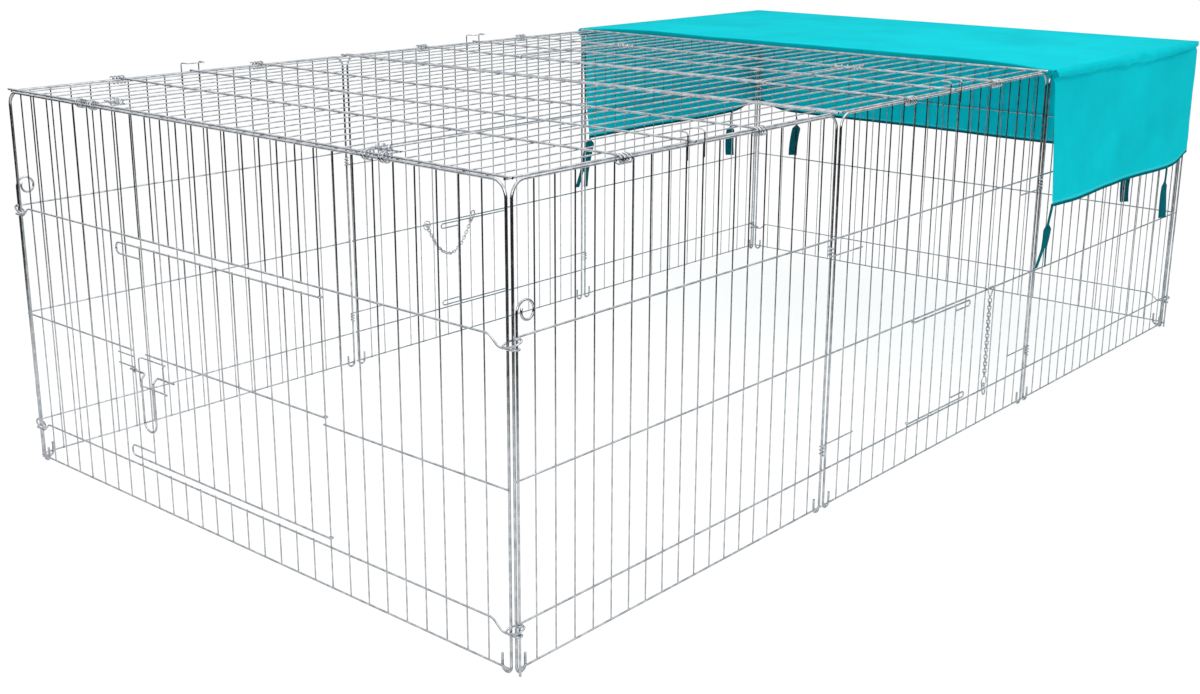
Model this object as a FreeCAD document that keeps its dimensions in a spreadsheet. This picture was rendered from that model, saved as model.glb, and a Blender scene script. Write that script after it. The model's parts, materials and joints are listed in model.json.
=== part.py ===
import FreeCAD, Part
import math
import os
import Sketcher

# Wire pet run: eight welded side panels pinned at the corners, a wire top in three panels with a hatch,
# an end door with a slide bolt, two small doors with chains, and a cloth cover over the far third.
# X runs along the length with the near end at -X, Y runs across with the front at -Y, Z is up from the floor.

sizes = {
    "run_length": 2160,
    "run_width": 1160,
    "panel_height": 650,
    "side_panels": 3,
    # wire thicknesses, sides of a wire's section, and fits
    "frame_wire": 4.0,
    "rail_wire": 3.0,
    "mesh_wire": 2.2,
    "bar_wire": 3.5,
    "pin_wire": 3.5,
    "stub_wire": 2.5,
    "bolt_wire": 3.5,
    "frame_sides": 6,
    "pin_sides": 6,
    "wire_sides": 4,
    "facet_angle": 30.0,
    "weld_sink": 0.03,
    "loose_fit": 0.4,
    # side panels
    "leg_inset": 6.0,
    "corner_setback": 1.5,
    "corner_bend": 22.0,
    "foot_bend": 8.0,
    "foot_rise": 26.0,
    "long_gaps": 19,
    "end_gaps": 29,
    "upper_height": 455.0,
    "middle_height": 268.0,
    "lower_height": 72.0,
    "bottom_height": 9.0,
    "rail_end": 2.5,
    # corner eyelets and pins
    "long_eye_fit": 0.7,
    "end_eye_fit": 0.3,
    "eye_turn": 290.0,
    "eye_dip": 14.0,
    "dip_bend": 12.0,
    "dip_angle": 40.0,
    "dip_inset": 9.0,
    "pin_ring": 15.0,
    "pin_ring_turn": 180.0,
    "pin_curl": 11.0,
    "pin_curl_turn": 210.0,
    "pin_shaft": 486.0,
    # coil hinges between the long-side panels
    "coil_turns": 3,
    "coil_pitch": 6.0,
    "coil_fit": 0.3,
    "coil_drop": 27.0,
    "coil_lift": 43.0,
    "coil_lead": 7.0,
    "stub_gaps": 2,
    # centre loops on the top rails
    "loop_left": 9,
    "loop_below": 20.0,
    "loop_above": 18.0,
    "loop_reach": 20.0,
    "loop_bend": 5.0,
    # end door
    "door_post": 8,
    "door_hinge": 20,
    "door_gap": 14.0,
    "door_drop": 11.0,
    "door_stop_past": 22.0,
    "door_stop_bend": 9.0,
    # slide bolt on the end door
    "bolt_fall": 32.0,
    "bolt_bend": 4.0,
    "bolt_nose": 12.0,
    "bolt_tail": 41.0,
    "handle_lean": 5.0,
    "handle_length": 66.0,
    "handle_width": 33.0,
    "handle_inset": 11.0,
    "guide_height": 48.0,
    "guide_left": 16.0,
    "guide_right": 11.0,
    "guide_bend": 2.2,
    "guide_joint": 1.0,
    "keeper_bend": 2.6,
    "keeper_past": 5.0,
    # small doors and chains in the middle panels
    "small_hinge": 7,
    "small_post": 12,
    "small_gap": 6.0,
    "small_stop_past": 12.0,
    "small_stop_bend": 5.0,
    "chain_wire": 5.0,
    "chain_fit": 0.3,
    "chain_place": 14.3,
    "chain_past": 6.0,
    "swag_place": 13.58,
    "swag_span": 136.0,
    "swag_sag": 74.0,
    "swag_facets": 12,
    # top panels and hatch
    "top_gaps": 29,
    "top_inset": 6.0,
    "edge_inset": 12.0,
    "bar_gap": 5.5,
    "hook_fit": 0.15,
    "hook_turn": 200.0,
    "hatch_from": 7,
    "hatch_to": 22,
    "hatch_step": 6.0,
    "hatch_past": 24.0,
    "clip_from": 6,
    "clip_inset": 40.0,
    "clip_past": 8.0,
    # cover
    "cloth": 1.2,
    "cover_lift": 0.3,
    "flap_drop": 264.0,
    "flap_out_sides": 18.0,
    "flap_out_end": 12.35,
    "flap_wave": 3.0,
    "flap_waves": 3,
    "tie_width": 22.0,
    "tie_length": 120.0,
    "tie_inset": 26.0,
    "tie_far_inset": 98.0,
    "tie_end_inset": 120.0,
}

doc = FreeCAD.newDocument("pet_run")
sheet = doc.addObject("Spreadsheet::Sheet", "sizes")
for row, (alias, number) in enumerate(sizes.items(), start=1):
    sheet.set(f"A{row}", alias)
    sheet.set(f"B{row}", str(number))
    sheet.setAlias(f"B{row}", alias)
doc.recompute()


def size(alias):
    return float(sheet.get(alias))


def count(alias):
    return int(sheet.get(alias))


# A wire's section is a polygon inside its round outline, so its flats lie a little within its radius.
def flat(wire, sides="wire_sides"):
    return size(wire) / 2 * math.cos(math.pi / count(sides))


length = size("run_length")
width = size("run_width")
height = size("panel_height")
sides = count("wire_sides")
frame_r = size("frame_wire") / 2
rail_r = size("rail_wire") / 2
mesh_r = size("mesh_wire") / 2
sink = size("weld_sink")
inset = size("leg_inset")
rail_end = size("rail_end")
long_panel = length / count("side_panels")
end_panel = width - 2 * size("corner_setback")
upper = size("upper_height")
middle = size("middle_height")
lower = size("lower_height")

# In a side panel x runs along it, y points into the run from the frame's plane, and z is up.
rail_y = -(flat("frame_wire", "frame_sides") + flat("rail_wire") - sink)
upright_y = rail_y + flat("rail_wire") + flat("mesh_wire") - sink
stub_y = upright_y - flat("mesh_wire") - flat("stub_wire") + sink
long_eye = size("pin_wire") / 2 + size("long_eye_fit") + flat("rail_wire")
end_eye = size("pin_wire") / 2 + size("end_eye_fit") + flat("rail_wire")
pin_y = rail_y - long_eye

right = FreeCAD.Vector(1, 0, 0)
inward = FreeCAD.Vector(0, 1, 0)
up = FreeCAD.Vector(0, 0, 1)


def long_x(place):
    return inset + place * (long_panel - 2 * inset) / count("long_gaps")


def end_x(place):
    return inset + place * (end_panel - 2 * inset) / count("end_gaps")


# A wire bent step by step. Each bend is a few flat facets tangent to its arc, which keeps the faces few.
class Bend:
    def __init__(self, start, heading):
        self.at = FreeCAD.Vector(start)
        self.heading = FreeCAD.Vector(heading).normalize()
        self.points = [self.at]

    def forward(self, distance):
        self.at = self.at + self.heading * distance
        return self

    def turn(self, radius, degrees, axis):
        facets = math.ceil(degrees / size("facet_angle"))
        half = radius * math.tan(math.radians(degrees / facets / 2))
        for facet in range(facets):
            self.forward(half)
            self.points.append(self.at)
            self.heading = FreeCAD.Rotation(axis, degrees / facets).multVec(self.heading)
            self.forward(half)
        return self

    def through(self, points):
        self.points += points[:-1]
        self.at = points[-1]
        return self

    # Each corner of the section runs along the wire to the plane that halves the next bend.
    def solid(self, wire, sides_alias="wire_sides", lean=up):
        corner_count = count(sides_alias)
        points = self.points + [self.at]
        headings = [(end - begin).normalize() for begin, end in zip(points, points[1:])]
        side = lean.cross(headings[0]).normalize()
        over = headings[0].cross(side)
        ring = []
        for step in range(corner_count):
            angle = math.pi / corner_count * (2 * step + 1)
            ring.append(points[0] + (side * math.sin(angle) + over * math.cos(angle)) * (size(wire) / 2))
        faces = [Part.Face(Part.makePolygon(ring + ring[:1]))]
        for point, heading, leaving in zip(points[1:], headings, headings[1:] + headings[-1:]):
            normal = heading + leaving
            pace = heading.dot(normal)
            reached = [corner + heading * ((point - corner).dot(normal) / pace) for corner in ring]
            for step in range(corner_count):
                quad = [ring[step - 1], ring[step], reached[step], reached[step - 1]]
                faces.append(Part.Face(Part.makePolygon(quad + quad[:1])))
            ring = reached
        faces.append(Part.Face(Part.makePolygon(ring + ring[:1])))
        whole = Part.Solid(Part.Shell(faces))
        whole.fix(sink, sink, sink)
        return whole


# A bend that starts on a ring and leaves it with a given heading.
def from_ring(centre, radius, degrees, axis, leaving):
    heading = FreeCAD.Rotation(axis, -degrees).multVec(leaving)
    start = centre - axis.cross(heading) * radius
    return Bend(start, heading).turn(radius, degrees, axis)


nodes = []


def label(piece, name):
    piece.Label = name
    nodes.append(piece)
    return piece


def bent(name, shape):
    piece = doc.addObject("Part::Feature", name)
    piece.Shape = shape
    return piece


# A straight wire: a prism whose thickness, length and start are bound to the sheet.
def prism(name, wire, run, start, along):
    piece = doc.addObject("Part::Prism", name)
    piece.Polygon = sides
    piece.setExpression("Circumradius", f"sizes.{wire} / 2")
    piece.setExpression("Height", run)
    turned = {
        "x": FreeCAD.Rotation(inward, 90),
        "y": FreeCAD.Rotation(right, -90),
        "z": FreeCAD.Rotation(),
    }[along]
    level = FreeCAD.Rotation(up, 90 - 180 / sides)
    piece.Placement = FreeCAD.Placement(FreeCAD.Vector(), turned.multiply(level))
    for axis, place in zip("xyz", start):
        piece.setExpression(f"Placement.Base.{axis}", place)
    return piece


# One node: its wires as separate solids, placed where the panel stands.
def group(name, pieces, base=("0", "0", "0"), degrees=0):
    whole = doc.addObject("Part::Compound", name)
    whole.Links = pieces
    whole.Placement = FreeCAD.Placement(FreeCAD.Vector(), FreeCAD.Rotation(up, degrees))
    for axis, place in zip("xyz", base):
        whole.setExpression(f"Placement.Base.{axis}", place)
    return label(whole, name)


# Expressions that several wires share
def flat_of(wire, sides_alias="wire_sides"):
    return f"(sizes.{wire} / 2 * cos(180 / sizes.{sides_alias}))"


long_size = "(sizes.run_length / sizes.side_panels)"
end_size = "(sizes.run_width - 2 * sizes.corner_setback)"
long_pitch = f"(({long_size} - 2 * sizes.leg_inset) / sizes.long_gaps)"
end_pitch = f"(({end_size} - 2 * sizes.leg_inset) / sizes.end_gaps)"
frame_flat = flat_of("frame_wire", "frame_sides")
rail_line = f"(-{frame_flat} - {flat_of('rail_wire')} + sizes.weld_sink)"
upright_line = f"({rail_line} + {flat_of('rail_wire')} + {flat_of('mesh_wire')} - sizes.weld_sink)"
stub_line = f"({upright_line} - {flat_of('mesh_wire')} - {flat_of('stub_wire')} + sizes.weld_sink)"
upright_foot = "(sizes.bottom_height - sizes.rail_wire / 2)"
upright_top = "(sizes.panel_height - sizes.frame_wire + sizes.weld_sink)"


# An inverted U of thick wire with hooked feet: a sketched path and a section swept along it.
def frame_sweep(name, panel, panel_size):
    foot = size("foot_bend")
    corner = size("corner_bend")
    rise = size("foot_rise")
    ankle = foot + frame_r
    top = height - frame_r
    far = panel - inset

    def point(x, y):
        return FreeCAD.Vector(x, y, 0)

    def line(start, end):
        return Part.LineSegment(point(*start), point(*end))

    def arc(centre, radius, begin, end):
        circle = Part.Circle(point(*centre), up, radius)
        return Part.ArcOfCircle(circle, math.radians(begin), math.radians(end))

    path = doc.addObject("Sketcher::SketchObject", f"{name}_path")
    path.Placement = FreeCAD.Placement(FreeCAD.Vector(), FreeCAD.Rotation(right, 90))
    path.addGeometry([
        line((inset + 2 * foot, rise), (inset + 2 * foot, ankle)),
        arc((inset + foot, ankle), foot, 180, 360),
        line((inset, ankle), (inset, top - corner)),
        arc((inset + corner, top - corner), corner, 90, 180),
        line((inset + corner, top), (far - corner, top)),
        arc((far - corner, top - corner), corner, 0, 90),
        line((far, top - corner), (far, ankle)),
        arc((far - foot, ankle), foot, 180, 360),
        line((far - 2 * foot, ankle), (far - 2 * foot, rise)),
    ])
    joints = ((0, 2, 1, 2), (1, 1, 2, 1), (2, 2, 3, 2), (3, 1, 4, 1),
              (4, 2, 5, 2), (5, 1, 6, 1), (6, 2, 7, 2), (7, 1, 8, 1))
    for joint in joints:
        path.addConstraint(Sketcher.Constraint("Tangent", *joint))
    for upright in (0, 2, 6, 8):
        path.addConstraint(Sketcher.Constraint("Vertical", upright))
    path.addConstraint(Sketcher.Constraint("Horizontal", 4))
    ankle_rule = "sizes.foot_bend + sizes.frame_wire / 2"
    rules = (
        (("Radius", 1, foot), "sizes.foot_bend"),
        (("Radius", 7, foot), "sizes.foot_bend"),
        (("Radius", 3, corner), "sizes.corner_bend"),
        (("Radius", 5, corner), "sizes.corner_bend"),
        (("DistanceY", -1, 1, 0, 1, rise), "sizes.foot_rise"),
        (("DistanceY", -1, 1, 8, 2, rise), "sizes.foot_rise"),
        (("DistanceX", -1, 1, 2, 1, inset), "sizes.leg_inset"),
        (("DistanceX", -1, 1, 6, 2, far), f"{panel_size} - sizes.leg_inset"),
        (("DistanceY", -1, 1, 2, 1, ankle), ankle_rule),
        (("DistanceY", -1, 1, 6, 2, ankle), ankle_rule),
        (("DistanceY", -1, 1, 4, 1, top), "sizes.panel_height - sizes.frame_wire / 2"),
    )
    for rule, expression in rules:
        place = path.addConstraint(Sketcher.Constraint(*rule))
        path.setExpression(f"Constraints[{place}]", expression)
    section = doc.addObject("Part::RegularPolygon", f"{name}_section")
    section.Polygon = count("frame_sides")
    section.Placement.Rotation = FreeCAD.Rotation(up, 90 - 180 / count("frame_sides"))
    section.setExpression("Circumradius", "sizes.frame_wire / 2")
    section.setExpression("Placement.Base.x", "sizes.leg_inset + 2 * sizes.foot_bend")
    section.setExpression("Placement.Base.z", "sizes.foot_rise")
    doc.recompute()
    sweep = doc.addObject("Part::Sweep", name)
    sweep.Sections = [section]
    sweep.Spine = (path, [f"Edge{number + 1}" for number in range(len(path.Shape.Edges))])
    sweep.Solid = True
    sweep.Frenet = False
    return sweep


def upright(name, pitch, place, foot=upright_foot, top=upright_top):
    start = (f"sizes.leg_inset + {place} * {pitch}", upright_line, foot)
    return prism(name, "mesh_wire", f"{top} - {foot}", start, "z")


rail_left = "(sizes.leg_inset - sizes.rail_end)"


def level_rail(name, far, at_height, left=rail_left):
    return prism(name, "rail_wire", f"{far} - {left}", (left, rail_line, at_height), "x")


def rail_right(panel_size):
    return f"({panel_size} - sizes.leg_inset + sizes.rail_end)"


# Long-side panels: the upper and lower rails end in an eyelet round the corner pin.
def long_rails(name, eyelet):
    pieces = []
    for rail in ("upper", "lower"):
        at = size(f"{rail}_height")
        if eyelet == "left":
            start = FreeCAD.Vector(long_panel - inset + rail_end, rail_y, at)
            wire = Bend(start, -right).forward(long_panel - 2 * inset + rail_end)
            wire.turn(long_eye, size("eye_turn"), up)
        else:
            start = FreeCAD.Vector(inset - rail_end, rail_y, at)
            wire = Bend(start, right).forward(long_panel - 2 * inset + rail_end)
            wire.turn(long_eye, size("eye_turn"), -up)
        pieces.append(bent(f"{name}_{rail}_rail", wire.solid("rail_wire")))
    return pieces


def long_mesh(name, eyelet):
    pieces = [upright(f"{name}_upright", long_pitch, place) for place in range(1, count("long_gaps"))]
    for rail in ("middle", "bottom"):
        pieces.append(level_rail(f"{name}_{rail}_rail", rail_right(long_size), f"sizes.{rail}_height"))
    return pieces + long_rails(name, eyelet)


# The middle panel of a long side is open between two uprights for a small door.
def middle_mesh(name):
    pieces = []
    for place in range(1, count("long_gaps")):
        if count("small_hinge") < place < count("small_post"):
            over = "(sizes.middle_height - sizes.rail_wire / 2)"
            under = "(sizes.lower_height + sizes.rail_wire / 2)"
            pieces.append(upright(f"{name}_over", long_pitch, place, foot=over))
            pieces.append(upright(f"{name}_under", long_pitch, place, top=under))
        else:
            pieces.append(upright(f"{name}_upright", long_pitch, place))
    for rail in ("upper", "middle", "lower", "bottom"):
        pieces.append(level_rail(f"{name}_{rail}_rail", rail_right(long_size), f"sizes.{rail}_height"))
    return pieces


# End panels: the upper and lower rails dip at the corners and curl round the pins below the long eyelets.
def end_rails(name):
    pin_x = end_panel + size("corner_setback") - frame_r - pin_y
    pin_in = inset - frame_r
    curl = pin_in - rail_y
    dip = size("eye_dip")
    bend = size("dip_bend")
    angle = size("dip_angle")
    lean = math.radians(angle)
    slope = (dip - 2 * bend * (1 - math.cos(lean))) / math.sin(lean)
    dip_run = 2 * bend * math.sin(lean) + slope * math.cos(lean)
    lead = inset + size("dip_inset") - (end_panel - pin_x - end_eye + curl)
    straight = end_panel - 2 * (inset + size("dip_inset") + dip_run)
    pieces = []
    for rail in ("upper", "lower"):
        eye_height = size(f"{rail}_height") - dip
        ring = FreeCAD.Vector(end_panel - pin_x, pin_in, eye_height)
        wire = from_ring(ring, end_eye, size("eye_turn"), up, -inward)
        wire.turn(curl, 90, up).forward(lead)
        wire.turn(bend, angle, -inward).forward(slope).turn(bend, angle, inward)
        wire.forward(straight)
        wire.turn(bend, angle, inward).forward(slope).turn(bend, angle, -inward)
        wire.forward(lead).turn(curl, 90, up).turn(end_eye, size("eye_turn"), up)
        pieces.append(bent(f"{name}_{rail}_rail", wire.solid("rail_wire")))
    return pieces


def far_end_mesh(name):
    pieces = [upright(f"{name}_upright", end_pitch, place) for place in range(1, count("end_gaps"))]
    for rail in ("middle", "bottom"):
        pieces.append(level_rail(f"{name}_{rail}_rail", rail_right(end_size), f"sizes.{rail}_height"))
    return pieces + end_rails(name)


def end_place(place):
    return f"(sizes.leg_inset + {place} * {end_pitch})"


# The near end is open between the door's post and its hinge upright, where the middle rail is cut.
def near_end_mesh(name):
    pieces = []
    for place in range(1, count("end_gaps")):
        if count("door_post") < place < count("door_hinge"):
            over = "(sizes.upper_height - sizes.rail_wire / 2)"
            under = "(sizes.lower_height + sizes.rail_wire / 2)"
            pieces.append(upright(f"{name}_over", end_pitch, place, foot=over))
            pieces.append(upright(f"{name}_under", end_pitch, place, top=under))
        else:
            pieces.append(upright(f"{name}_upright", end_pitch, place))
    post = f"({end_place('sizes.door_post')} + sizes.rail_end)"
    hinge = f"({end_place('sizes.door_hinge')} - sizes.rail_end)"
    low_middle = "sizes.middle_height - sizes.door_drop"
    pieces.append(level_rail(f"{name}_middle_left", post, "sizes.middle_height"))
    pieces.append(level_rail(f"{name}_middle_right", rail_right(end_size), low_middle, hinge))
    pieces.append(level_rail(f"{name}_bottom_rail", rail_right(end_size), "sizes.bottom_height"))
    brace_from = f"({end_place('(sizes.door_post - 1)')} - sizes.rail_end)"
    brace = (brace_from, stub_line, "sizes.middle_height - sizes.door_drop")
    pieces.append(prism(f"{name}_brace", "stub_wire", f"{post} - {brace_from}", brace, "x"))
    return pieces + end_rails(name)


# Where each panel stands: its base point and its turn about Z.
def long_base(number, back):
    sign = "-" if back else ""
    base_x = f"{sign}(-sizes.run_length / 2 + {number} * {long_size})"
    base_y = f"{sign}(-sizes.run_width / 2 + sizes.frame_wire / 2)"
    return (base_x, base_y, "0"), 180 if back else 0


end_bases = {
    "near_end": (("-sizes.run_length / 2 + sizes.frame_wire / 2",
                  "sizes.run_width / 2 - sizes.corner_setback", "0"), -90),
    "far_end": (("sizes.run_length / 2 - sizes.frame_wire / 2",
                 "-sizes.run_width / 2 + sizes.corner_setback", "0"), 90),
}


def side_panels():
    long_frame = frame_sweep("long_frame", long_panel, long_size)
    end_frame = frame_sweep("end_frame", end_panel, end_size)
    meshes = (long_mesh("left", "left"), middle_mesh("middle"), long_mesh("right", "right"))
    for back in (False, True):
        for number, wires in enumerate(meshes):
            base, degrees = long_base(number, back)
            place = len(meshes) - number if back else number + 1
            side = "back" if back else "front"
            group(f"{side}_frame_{place}", [long_frame], base, degrees)
            group(f"{side}_mesh_{place}", wires, base, degrees)
    for end, wires in (("near_end", near_end_mesh("near_end")), ("far_end", far_end_mesh("far_end"))):
        base, degrees = end_bases[end]
        group(f"{end}_frame", [end_frame], base, degrees)
        group(f"{end}_mesh", wires, base, degrees)


# A coil on the middle panel: a stub welded over two uprights, wound round the neighbour's leg.
def coil_hinge(name, on_left, at_height, rise):
    radius = frame_r + size("coil_fit") + flat("stub_wire")
    sense = -1 if on_left else 1
    leg = -inset if on_left else long_panel + inset
    reach = long_x(size("stub_gaps")) + rail_end
    start_x = reach if on_left else long_panel - reach
    wire = Bend(FreeCAD.Vector(start_x, stub_y, at_height), right * sense)
    wire.forward(abs(leg - start_x) - size("coil_lead"))
    wire.points.append(wire.at)
    step = math.radians(size("facet_angle"))
    facets = round(2 * math.pi * count("coil_turns") / step)
    turns = []
    for facet in range(facets):
        part_turn = (facet + 0.5) * step
        swing = -math.pi / 2 + sense * part_turn
        reach = radius / math.cos(step / 2)
        turns.append(FreeCAD.Vector(leg + reach * math.cos(swing), reach * math.sin(swing),
                                    at_height + rise * part_turn / (2 * math.pi)))
    turns.append((turns[-1] * 3 - turns[-2]) / 2)
    half_turn = round(math.pi / step)
    gaps = [turns[a].distanceToPoint(turns[b]) for a in range(facets) for b in range(a + half_turn, facets)]
    print(f"{name}: least gap between turns {min(gaps) - size('stub_wire'):.2f} mm")
    return bent(name, wire.through(turns).solid("stub_wire"))


def coil_hinges():
    pitch = size("coil_pitch")
    coils = []
    for on_left in (True, False):
        coils.append(coil_hinge("upper_coil", on_left, upper - size("coil_drop"), pitch))
        coils.append(coil_hinge("lower_coil", on_left, lower + size("coil_lift"), -pitch))
    for side, back in (("front", False), ("back", True)):
        base, degrees = long_base(1, back)
        group(f"{side}_coil_hinges", coils, base, degrees)


# Corner pins stand on the floor outside the long sides' end legs, each with a ring to pull it by.
def corner_pins():
    for end, toward in (("near", 1), ("far", -1)):
        wire = Bend(FreeCAD.Vector(), up).forward(size("pin_shaft"))
        wire.turn(size("pin_ring"), size("pin_ring_turn"), inward * toward)
        wire.turn(size("pin_curl"), size("pin_curl_turn"), inward * toward)
        shape = wire.solid("pin_wire", "pin_sides", lean=right)
        for side, sign in (("front", -1), ("back", 1)):
            pin = bent(f"pin_{end}_{side}", shape)
            pin.Placement.Base = FreeCAD.Vector(-toward * (length / 2 - inset),
                                                sign * (width / 2 - frame_r - pin_y), 0)
            label(pin, f"pin_{end}_{side}")


# Loops over the edge of the top, at the middle of each side panel that the cover leaves bare.
def rail_loops():
    bend = size("loop_bend")
    left = long_x(size("loop_left"))
    gap = long_x(size("loop_left") + 1) - left
    rise = size("loop_below") + size("loop_above") - bend
    reach = size("loop_reach") - 2 * bend
    outside = -(flat("frame_wire", "frame_sides") + flat("mesh_wire"))
    start = FreeCAD.Vector(left, outside, height - frame_r - size("loop_below"))
    wire = Bend(start, up).forward(rise).turn(bend, 90, -right).forward(reach).turn(bend, 90, -up)
    wire.forward(gap - 2 * bend).turn(bend, 90, -up).forward(reach).turn(bend, 90, right).forward(rise)
    loop = bent("rail_loop", wire.solid("mesh_wire", lean=inward))
    copies = []
    for number, back in ((0, False), (1, False), (1, True), (2, True)):
        base, degrees = long_base(number, back)
        copy = doc.addObject("Part::Compound", "rail_loop_copy")
        copy.Links = [loop]
        copy.Placement = FreeCAD.Placement(FreeCAD.Vector(), FreeCAD.Rotation(up, degrees))
        for axis, place in zip("xyz", base):
            copy.setExpression(f"Placement.Base.{axis}", place)
        copies.append(copy)
    group("rail_loops", copies)


# Doors hang by eyes on an upright of their panel; the free ends turn back as stops outside the post.
door_eye = mesh_r + size("loose_fit") + flat("rail_wire")
door_rail_y = upright_y - door_eye
door_wire_y = door_rail_y + flat("rail_wire") + flat("mesh_wire") - sink
door_wire_line = (f"({upright_line} - sizes.mesh_wire / 2 - sizes.loose_fit"
                  f" + {flat_of('mesh_wire')} - sizes.weld_sink)")


def door_rail(door, place, hinge, post, last, at_height, stop):
    toward = 1 if hinge > post else -1
    along = right * toward
    bend = size(f"{door}_stop_bend")
    arm = stop * 2 * bend
    start = FreeCAD.Vector(last + toward * rail_end, door_rail_y, at_height + arm)
    tip = abs(start.x - post) + size(f"{door}_stop_past") - bend
    wire = Bend(start, -along).forward(tip)
    wire.turn(bend, 180, inward * (-toward * stop))
    wire.forward(abs(hinge - wire.at.x)).turn(door_eye, size("eye_turn"), up * toward)
    return bent(f"{door}_{place}_rail", wire.solid("rail_wire"))


def door_wires(name, pitch, places, foot, top):
    wires = []
    for place in places:
        start = (f"sizes.leg_inset + {place} * {pitch}", door_wire_line, f"{foot} - sizes.rail_wire / 2")
        wires.append(prism(f"{name}_wire", "mesh_wire", f"{top} - {foot} + sizes.rail_wire", start, "z"))
    return wires


def end_door():
    post = count("door_post")
    hinge = count("door_hinge")
    gap = size("door_gap")
    ends = (end_x(hinge), end_x(post), end_x(post + 1))
    rails = [door_rail("door", "top", *ends, upper - gap, -1),
             door_rail("door", "bottom", *ends, lower + gap, 1)]
    middle_start = FreeCAD.Vector(end_x(post + 1) - rail_end, door_rail_y, middle)
    middle_rail = Bend(middle_start, right).forward(end_x(hinge) - middle_start.x)
    middle_rail.turn(door_eye, size("eye_turn"), up)
    rails.append(bent("door_middle_rail", middle_rail.solid("rail_wire")))
    wires = door_wires("door", end_pitch, range(post + 1, hinge),
                       "(sizes.lower_height + sizes.door_gap)", "(sizes.upper_height - sizes.door_gap)")
    base, degrees = end_bases["near_end"]
    group("end_door", rails + wires, base, degrees)


bolt_y = stub_y - size("keeper_bend")
bolt_z = middle - size("bolt_fall")


# The bolt is one wire: nose, a drop handle that leans out before it hangs, and a tail.
def door_bolt():
    bend = size("bolt_bend")
    nose = end_x(count("door_post")) + size("keeper_past") - size("bolt_nose")
    arm = end_x(count("door_post") + 1) - size("guide_left") + size("handle_inset")
    wire = Bend(FreeCAD.Vector(nose, bolt_y, bolt_z), right).forward(arm - bend - nose)
    lean = size("handle_lean")
    wire.turn(bend, 90, inward - up).forward(lean).turn(bend, 45, right).forward(size("handle_length"))
    wire.turn(size("handle_width") / 2, 180, -inward)
    wire.forward(size("handle_length")).turn(bend, 45, -right).forward(lean).turn(bend, 90, inward - up)
    wire.forward(size("bolt_tail"))
    base, degrees = end_bases["near_end"]
    group("door_bolt", [bent("bolt_wire", wire.solid("bolt_wire"))], base, degrees)


# A folded loop on two door wires, standing off them so that the bolt slides behind its sides.
def bolt_guide():
    bend = size("guide_bend")
    seat = door_wire_y - flat("mesh_wire") - flat("stub_wire") + sink
    stand = bolt_y - size("bolt_wire") / 2 - size("loose_fit") - flat("stub_wire")
    fold = seat - stand - 2 * bend
    left = end_x(count("door_post") + 1) - size("guide_left")
    far = end_x(count("door_post") + 2) + size("guide_right")
    tall = size("guide_height") - 2 * bend
    broad = far - left - 2 * bend
    half = (broad - size("guide_joint")) / 2
    start = FreeCAD.Vector(left + bend + half, seat, bolt_z + size("guide_height") / 2)
    wire = Bend(start, -right).forward(half)
    wire.turn(bend, 90, up).forward(fold).turn(bend, 90, right).forward(tall)
    wire.turn(bend, 90, right).forward(fold).turn(bend, 90, -up).forward(broad)
    wire.turn(bend, 90, -up).forward(fold).turn(bend, 90, -right).forward(tall)
    wire.turn(bend, 90, -right).forward(fold).turn(bend, 90, up).forward(half)
    base, degrees = end_bases["near_end"]
    group("bolt_guide", [bent("guide_wire", wire.solid("stub_wire"))], base, degrees)


# A stub on two uprights of the panel, its end turned into an eye for the bolt.
def bolt_keeper():
    bend = size("keeper_bend")
    eye = size("bolt_wire") / 2 + size("loose_fit") + flat("stub_wire")
    start = FreeCAD.Vector(end_x(count("door_post") - 1) - rail_end, stub_y, bolt_z + eye)
    run = end_x(count("door_post")) + size("keeper_past") - bend - start.x
    wire = Bend(start, right).forward(run).turn(bend, 90, -up).turn(eye, size("eye_turn"), right)
    base, degrees = end_bases["near_end"]
    group("bolt_keeper", [bent("keeper_wire", wire.solid("stub_wire"))], base, degrees)


def small_doors():
    hinge = count("small_hinge")
    post = count("small_post")
    gap = size("small_gap")
    ends = (long_x(hinge), long_x(post), long_x(post - 1))
    pieces = [door_rail("small", "top", *ends, middle - gap, -1),
              door_rail("small", "bottom", *ends, lower + gap, 1)]
    pieces += door_wires("small", long_pitch, range(hinge + 1, post),
                         "(sizes.lower_height + sizes.small_gap)", "(sizes.middle_height - sizes.small_gap)")
    for side, back in (("front", False), ("back", True)):
        base, degrees = long_base(1, back)
        group(f"{side}_small_door", pieces, base, degrees)


# Chains: the front one hangs over two rails of its panel, the back one sags between two hooks on its inside.
def chains():
    base, degrees = long_base(1, False)
    hang_y = f"{rail_line} - {flat_of('rail_wire')} - sizes.chain_fit - {flat_of('chain_wire')}"
    foot = "sizes.lower_height - sizes.chain_past"
    run = "sizes.middle_height - sizes.lower_height + 2 * sizes.chain_past"
    start = (f"sizes.leg_inset + sizes.chain_place * {long_pitch}", hang_y, foot)
    group("front_chain", [prism("front_strand", "chain_wire", run, start, "z")], base, degrees)
    span = size("swag_span")
    sag = size("swag_sag")
    swag_y = upright_y + flat("mesh_wire") + size("chain_fit") + flat("chain_wire")
    begin = FreeCAD.Vector(long_x(size("swag_place")), swag_y, middle)
    facets = count("swag_facets")
    points = []
    for facet in range(1, facets + 1):
        across = facet / facets
        points.append(begin - right * (span * across) - up * (sag * 4 * across * (1 - across)))
    wire = Bend(begin, points[0] - begin).through(points)
    base, degrees = long_base(1, True)
    group("back_chain", [bent("back_strand", wire.solid("chain_wire", lean=inward))], base, degrees)


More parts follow.
